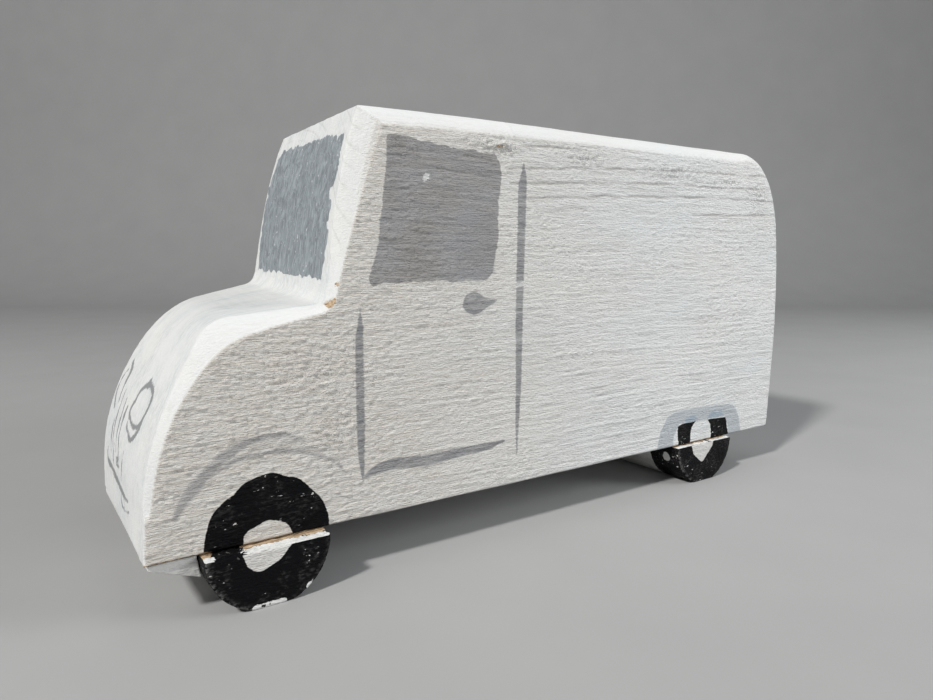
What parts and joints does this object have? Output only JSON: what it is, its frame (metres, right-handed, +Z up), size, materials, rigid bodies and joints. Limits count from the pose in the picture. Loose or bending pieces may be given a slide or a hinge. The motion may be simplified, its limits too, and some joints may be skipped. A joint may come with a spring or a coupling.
{
  "type": "toy delivery van",
  "caption": "Hand-painted solid wooden toy delivery van with a rounded nose, a flat roof and half-round bars glued underneath as fixed wheels.",
  "frame": {"origin": "on the ground, under the middle of the whole van", "axes": "+Z up; the van's length lies along X, with its nose towards -X and its back towards +X; Y runs across it"},
  "size_m": [0.3126, 0.1006, 0.16],
  "materials": {
    "white_paint": "white acrylic brushed over rough timber, with the grain showing in relief",
    "black_paint": "black acrylic brushed over sawn timber, chipped to white and bare wood along its edges"
  },
  "bodies": {
    "root": {"body_block": "white_paint", "nose_chin": "white_paint", "front_wheel_bar": "black_paint", "rear_wheel_bar": "black_paint"}
  },
  "joints": []
}
